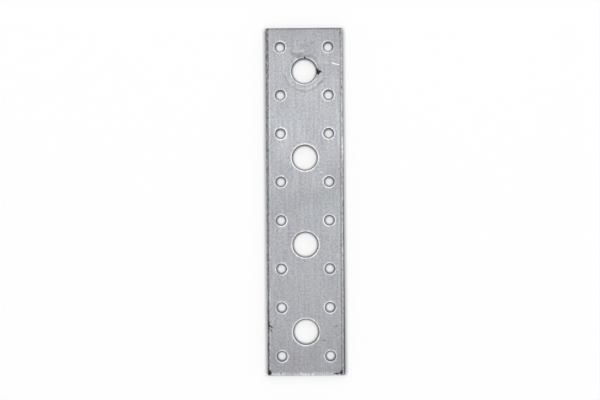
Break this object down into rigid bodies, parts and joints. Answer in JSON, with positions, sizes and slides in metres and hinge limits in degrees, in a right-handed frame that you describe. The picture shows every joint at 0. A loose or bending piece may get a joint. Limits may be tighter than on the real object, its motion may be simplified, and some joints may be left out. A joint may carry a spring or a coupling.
{
  "type": "mending plate",
  "caption": "Flat galvanised steel mending plate with a row of large bolt holes, each inside a square of small nail holes, for joining timbers end to end.",
  "frame": {"origin": "middle of the back face, the face that lies on the timber", "axes": "+Y along the plate, +X across it, +Z out of the front face, from which the holes are punched"},
  "size_m": [0.04, 0.18, 0.003],
  "materials": {
    "galvanised_steel": "hot-dip zinc coat, dull silver grey with fine rolling lines, bare sheared edges"
  },
  "bodies": {
    "root": {"plate": "galvanised_steel"}
  },
  "joints": []
}
